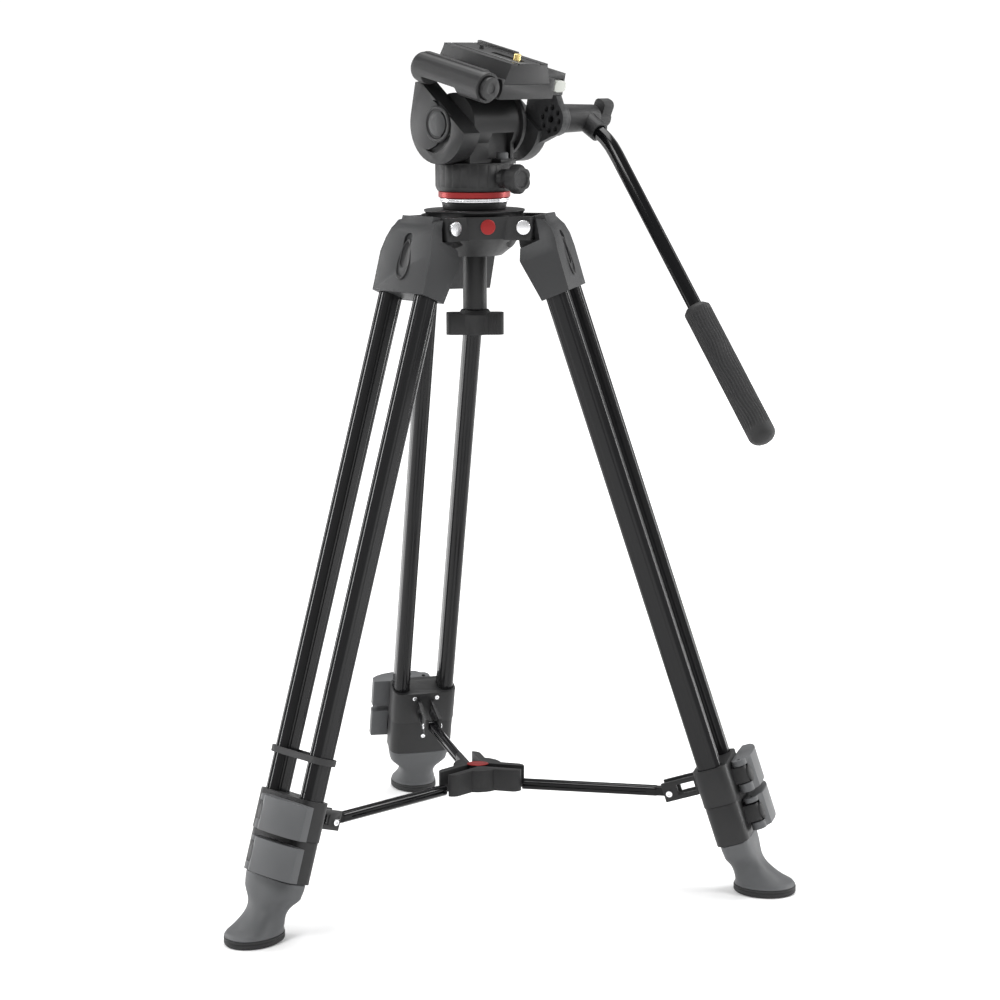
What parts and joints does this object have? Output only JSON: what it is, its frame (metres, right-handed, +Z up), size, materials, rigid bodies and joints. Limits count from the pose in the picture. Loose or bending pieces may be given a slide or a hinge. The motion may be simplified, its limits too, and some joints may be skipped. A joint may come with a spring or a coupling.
{
  "type": "video tripod with fluid head",
  "caption": "Twin-tube video tripod with a levelling half ball, a mid-level spreader and a fluid pan and tilt head with a pan bar.",
  "frame": {"origin": "centre of the bounding box on the floor plane that the three soles stand on", "axes": "+Z up along the tripod's axis; +Y is away from the viewer, +X to the right"},
  "size_m": [0.49, 0.4942, 0.7361],
  "materials": {
    "black_gloss": "gloss black anodised",
    "black_casting": "satin black die casting",
    "shoulder_casting": "fine grained dark grey",
    "grey_plastic": "fine grained mid grey",
    "black_rubber": "matt",
    "bright_steel": "turned",
    "red_anodised": "satin",
    "brass": "turned",
    "pale_plastic": "satin"
  },
  "bodies": {
    "tripod_apex": {"apex_spider": "black_casting", "leg_1_hinge_bolt": "bright_steel", "leg_2_hinge_bolt": "bright_steel", "leg_3_hinge_bolt": "bright_steel"},
    "leg_1": {"leg_1_shoulder": "shoulder_casting", "leg_1_tube_left": "black_gloss", "leg_1_tube_right": "black_gloss", "leg_1_upper_lock": "black_casting"},
    "leg_1_middle": {"leg_1_middle_stage": "black_casting"},
    "leg_1_lower": {"leg_1_lower_stage": "grey_plastic", "leg_1_sole": "black_rubber"},
    "leg_1_upper_lever": {"leg_1_upper_lever": "grey_plastic"},
    "leg_1_lower_lever": {"leg_1_lower_lever": "grey_plastic"},
    "leg_1_arm": {"leg_1_spreader_arm": "black_gloss"},
    "leg_2": {"leg_2_shoulder": "shoulder_casting", "leg_2_tube_left": "black_gloss", "leg_2_tube_right": "black_gloss", "leg_2_upper_lock": "black_casting"},
    "leg_2_middle": {"leg_2_middle_stage": "black_casting"},
    "leg_2_lower": {"leg_2_lower_stage": "grey_plastic", "leg_2_sole": "black_rubber"},
    "leg_2_upper_lever": {"leg_2_upper_lever": "grey_plastic"},
    "leg_2_lower_lever": {"leg_2_lower_lever": "grey_plastic"},
    "leg_2_arm": {"leg_2_spreader_arm": "black_gloss"},
    "leg_3": {"leg_3_shoulder": "shoulder_casting", "leg_3_tube_left": "black_gloss", "leg_3_tube_right": "black_gloss", "leg_3_upper_lock": "black_casting"},
    "leg_3_middle": {"leg_3_middle_stage": "black_casting"},
    "leg_3_lower": {"leg_3_lower_stage": "grey_plastic", "leg_3_sole": "black_rubber"},
    "leg_3_upper_lever": {"leg_3_upper_lever": "grey_plastic"},
    "leg_3_lower_lever": {"leg_3_lower_lever": "grey_plastic"},
    "leg_3_arm": {"leg_3_spreader_arm": "black_gloss"},
    "hub": {"spreader_hub": "black_casting"},
    "clamp_cup": {"ball_clamp_cup": "black_casting"},
    "ball": {"half_ball": "black_casting", "ball_stem": "black_casting", "head_base": "black_casting", "base_ring": "bright_steel"},
    "ball_knob": {"ball_knob": "black_rubber"},
    "pan": {"scale_ring": "red_anodised", "pan_housing": "black_casting", "level_vial": "pale_plastic", "tilt_axle": "bright_steel"},
    "pan_knob": {"pan_lock_knob": "black_rubber"},
    "cage": {"cheek_left": "black_casting", "cheek_right": "shoulder_casting", "platform": "black_casting"},
    "plate": {"camera_plate": "black_casting"},
    "screw": {"camera_screw": "brass"},
    "latch": {"plate_latch": "black_casting"},
    "latch_button": {"latch_button": "black_casting"},
    "release": {"release_button": "pale_plastic"},
    "pan_bar": {"rosette": "shoulder_casting", "bar_clamp": "black_casting", "pan_bar": "black_gloss", "pan_bar_grip": "black_rubber"},
    "bar_knob": {"bar_knob": "black_rubber"}
  },
  "joints": [
    {"name": "leg_1_spread", "type": "hinge", "parent": "tripod_apex", "child": "leg_1", "pos_m": [0.0154, -0.04533, 0.5795], "axis": [0.2588, 0.9659, 0], "range_deg": [0, 14.2]},
    {"name": "leg_1_upper_lever_turn", "type": "hinge", "parent": "leg_1", "child": "leg_1_upper_lever", "pos_m": [0.19744, -0.10032, 0.10604], "axis": [0.3049, -0.0817, -0.9489], "range_deg": [0, 90]},
    {"name": "leg_1_middle_slide", "type": "slide", "parent": "leg_1", "child": "leg_1_middle", "axis": [0.3049, -0.0817, -0.9489], "range_m": [0, 0.34]},
    {"name": "leg_1_lower_lever_turn", "type": "hinge", "parent": "leg_1_middle", "child": "leg_1_lower_lever", "pos_m": [0.20805, -0.10316, 0.07301], "axis": [0.3049, -0.0817, -0.9489], "range_deg": [0, 90]},
    {"name": "leg_1_lower_slide", "type": "slide", "parent": "leg_1_middle", "child": "leg_1_lower", "axis": [0.3049, -0.0817, -0.9489], "range_m": [0, 0.32]},
    {"name": "leg_1_arm_fold", "type": "hinge", "parent": "leg_1", "child": "leg_1_arm", "pos_m": [0.13673, -0.07784, 0.084], "axis": [0.2588, 0.9659, 0], "range_deg": [0, 68.47]},
    {"name": "leg_2_spread", "type": "hinge", "parent": "tripod_apex", "child": "leg_2", "pos_m": [-0.04743, 0.0175, 0.5795], "axis": [-0.9659, -0.2588, 0], "range_deg": [0, 14.2]},
    {"name": "leg_2_upper_lever_turn", "type": "hinge", "parent": "leg_2", "child": "leg_2_upper_lever", "pos_m": [-0.09082, 0.20264, 0.10604], "axis": [-0.0817, 0.3049, -0.9489], "range_deg": [0, 90]},
    {"name": "leg_2_middle_slide", "type": "slide", "parent": "leg_2", "child": "leg_2_middle", "axis": [-0.0817, 0.3049, -0.9489], "range_m": [0, 0.34]},
    {"name": "leg_2_lower_lever_turn", "type": "hinge", "parent": "leg_2_middle", "child": "leg_2_lower_lever", "pos_m": [-0.09366, 0.21325, 0.07301], "axis": [-0.0817, 0.3049, -0.9489], "range_deg": [0, 90]},
    {"name": "leg_2_lower_slide", "type": "slide", "parent": "leg_2_middle", "child": "leg_2_lower", "axis": [-0.0817, 0.3049, -0.9489], "range_m": [0, 0.32]},
    {"name": "leg_2_arm_fold", "type": "hinge", "parent": "leg_2", "child": "leg_2_arm", "pos_m": [-0.07993, 0.13882, 0.084], "axis": [-0.9659, -0.2588, 0], "range_deg": [0, 68.47]},
    {"name": "leg_3_spread", "type": "hinge", "parent": "tripod_apex", "child": "leg_3", "pos_m": [-0.07042, -0.06833, 0.5795], "axis": [0.7071, -0.7071, 0], "range_deg": [0, 14.2]},
    {"name": "leg_3_upper_lever_turn", "type": "hinge", "parent": "leg_3", "child": "leg_3_upper_lever", "pos_m": [-0.20906, -0.19848, 0.10604], "axis": [-0.2232, -0.2232, -0.9489], "range_deg": [0, 90]},
    {"name": "leg_3_middle_slide", "type": "slide", "parent": "leg_3", "child": "leg_3_middle", "axis": [-0.2232, -0.2232, -0.9489], "range_m": [0, 0.34]},
    {"name": "leg_3_lower_lever_turn", "type": "hinge", "parent": "leg_3_middle", "child": "leg_3_lower_lever", "pos_m": [-0.21683, -0.20625, 0.07301], "axis": [-0.2232, -0.2232, -0.9489], "range_deg": [0, 90]},
    {"name": "leg_3_lower_slide", "type": "slide", "parent": "leg_3_middle", "child": "leg_3_lower", "axis": [-0.2232, -0.2232, -0.9489], "range_m": [0, 0.32]},
    {"name": "leg_3_arm_fold", "type": "hinge", "parent": "leg_3", "child": "leg_3_arm", "pos_m": [-0.15924, -0.15714, 0.084], "axis": [0.7071, -0.7071, 0], "range_deg": [0, 68.47]},
    {"name": "hub_rise", "type": "slide", "parent": "tripod_apex", "child": "hub", "axis": [0, 0, 1], "range_m": [0, 0.13561]},
    {"name": "level_side", "type": "hinge", "parent": "tripod_apex", "child": "clamp_cup", "pos_m": [-0.03415, -0.03206, 0.59], "axis": [0, 1, 0], "range_deg": [-5, 5]},
    {"name": "level_front", "type": "hinge", "parent": "clamp_cup", "child": "ball", "pos_m": [-0.03415, -0.03206, 0.59], "axis": [1, 0, 0], "range_deg": [-5, 5]},
    {"name": "ball_knob_turn", "type": "hinge", "parent": "ball", "child": "ball_knob", "pos_m": [-0.03415, -0.03206, 0], "axis": [0, 0, 1], "continuous": true},
    {"name": "pan", "type": "hinge", "parent": "ball", "child": "pan", "pos_m": [-0.03415, -0.03206, 0], "axis": [0, 0, 1], "continuous": true},
    {"name": "pan_lock_turn", "type": "hinge", "parent": "pan", "child": "pan_knob", "pos_m": [-0.03415, -0.03206, 0.6197], "axis": [-0.7431, 0.6691, 0], "range_deg": [-90, 0]},
    {"name": "tilt", "type": "hinge", "parent": "pan", "child": "cage", "pos_m": [-0.03415, -0.03206, 0.666], "axis": [0.7193, 0.6947, 0], "range_deg": [-85, 15]},
    {"name": "plate_slide", "type": "slide", "parent": "cage", "child": "plate", "axis": [-0.6782, 0.7023, 0.2164], "range_m": [-0.02, 0.03]},
    {"name": "camera_screw_turn", "type": "hinge", "parent": "plate", "child": "screw", "pos_m": [-0.00702, -0.06015, 0.65734], "axis": [0.1504, -0.1557, 0.9763], "continuous": true},
    {"name": "latch_swing", "type": "hinge", "parent": "cage", "child": "latch", "pos_m": [-0.0513, -0.06396, 0.71579], "axis": [-0.6782, 0.7023, 0.2164], "range_deg": [0, 30]},
    {"name": "latch_button_press", "type": "slide", "parent": "latch", "child": "latch_button", "axis": [-0.6782, 0.7023, 0.2164], "range_m": [0, 0.003], "stiffness_N_per_m": 400, "springref_m": -0.001},
    {"name": "release_press", "type": "slide", "parent": "cage", "child": "release", "axis": [-0.6782, 0.7023, 0.2164], "range_m": [0, 0.004], "stiffness_N_per_m": 400, "springref_m": -0.001},
    {"name": "pan_bar_swing", "type": "hinge", "parent": "cage", "child": "pan_bar", "pos_m": [-0.00427, -0.06299, 0.66917], "axis": [0.7193, 0.6947, 0], "range_deg": [-60, 15]},
    {"name": "bar_knob_turn", "type": "hinge", "parent": "pan_bar", "child": "bar_knob", "pos_m": [0.0686, 0.00738, 0.66917], "axis": [0.7193, 0.6947, 0], "continuous": true}
  ],
  "couplings": [
    {"joint": "leg_1_arm_fold", "follows": "leg_1_spread", "ratio": 4.7866},
    {"joint": "leg_2_arm_fold", "follows": "leg_1_spread", "ratio": 4.7866},
    {"joint": "leg_2_spread", "follows": "leg_1_spread", "ratio": 1},
    {"joint": "leg_3_arm_fold", "follows": "leg_1_spread", "ratio": 4.7866},
    {"joint": "leg_3_spread", "follows": "leg_1_spread", "ratio": 1},
    {"joint": "hub_rise", "follows": "leg_1_spread", "m_per_rad": 0.54313}
  ]
}
